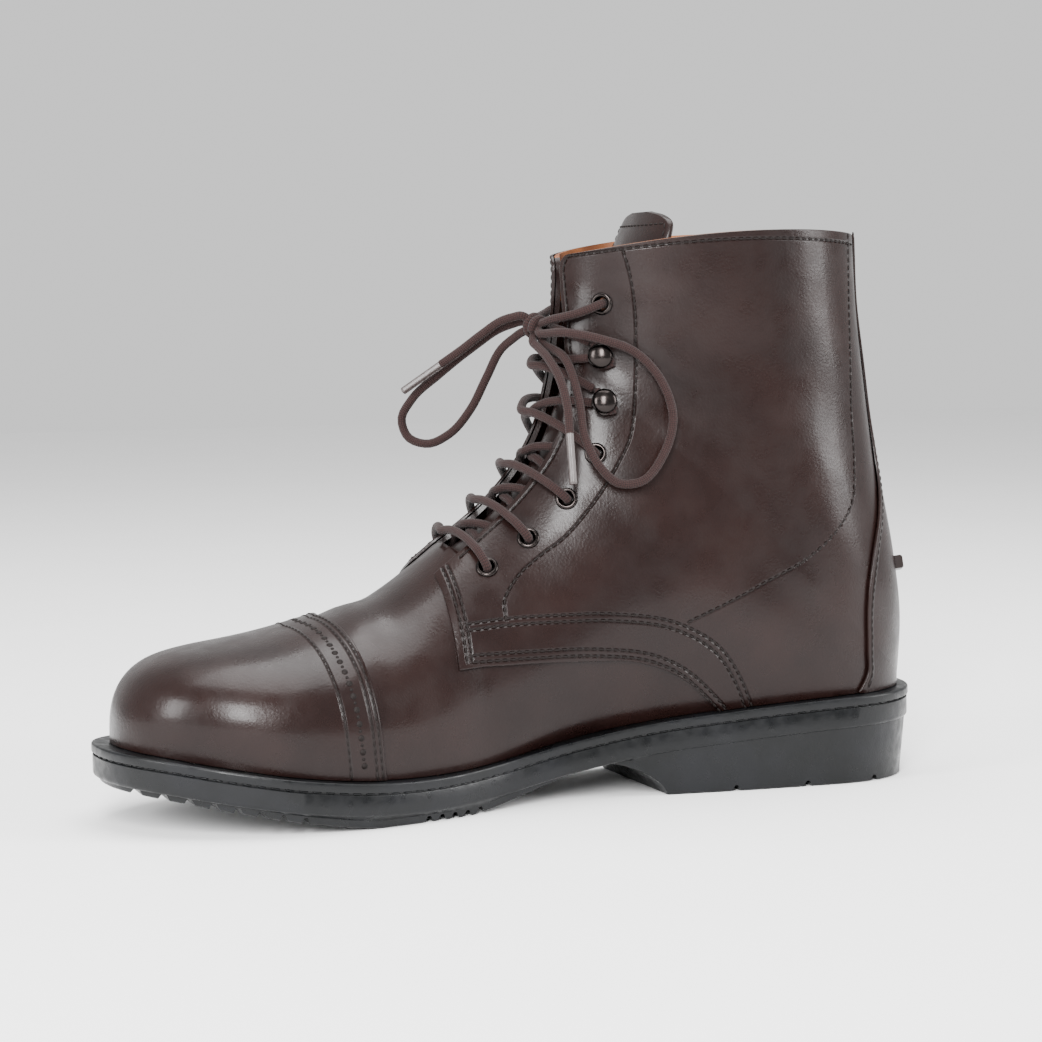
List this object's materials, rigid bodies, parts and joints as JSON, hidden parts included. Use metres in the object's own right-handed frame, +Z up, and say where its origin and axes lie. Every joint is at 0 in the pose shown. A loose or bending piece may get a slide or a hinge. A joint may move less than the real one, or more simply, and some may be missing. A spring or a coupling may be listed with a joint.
{
  "type": "paddock boot",
  "caption": "Lace-up ankle-high riding boot with toe cap, derby quarters, lace hooks, gusset tongue, counter and a moulded rubber sole with a low heel.",
  "frame": {"origin": "middle of the bounding box of the boot on the floor, under the sole", "axes": "+Z up, the toe points along -Y, the medial (inner) side faces +X"},
  "size_m": [0.1064, 0.2932, 0.1985],
  "materials": {
    "leather": "smooth, polished dark brown",
    "insole": "matte tan",
    "rubber": "satin black",
    "metal": "dark bronze gloss",
    "lace": "matte brown woven cord",
    "aglet": "satin grey film"
  },
  "bodies": {
    "root": {"aglet_lateral": "aglet", "aglet_medial": "aglet", "counter": "leather", "eyelet_lateral_1": "metal", "eyelet_lateral_2": "metal", "eyelet_lateral_3": "metal", "eyelet_lateral_4": "metal", "eyelet_lateral_7": "metal", "eyelet_medial_1": "metal", "eyelet_medial_2": "metal", "eyelet_medial_3": "metal", "eyelet_medial_4": "metal", "eyelet_medial_7": "metal", "hook_lateral_5": "metal", "hook_lateral_6": "metal", "hook_medial_5": "metal", "hook_medial_6": "metal", "insole": "insole", "lace_bar_1": "lace", "lace_bar_2": "lace", "lace_bar_3": "lace", "lace_crossing_1": "lace", "lace_crossing_2": "lace", "lace_end_lateral": "lace", "lace_end_medial": "lace", "lace_knot": "lace", "lace_loop_lateral": "lace", "lace_loop_medial": "lace", "lace_tail_lateral": "lace", "lace_tail_medial": "lace", "lace_top_lateral": "lace", "lace_top_medial": "lace", "quarters": "leather", "sole": "rubber", "spur_rest": "leather", "toe_cap": "leather", "tongue": "leather", "upper": "leather"}
  },
  "joints": []
}
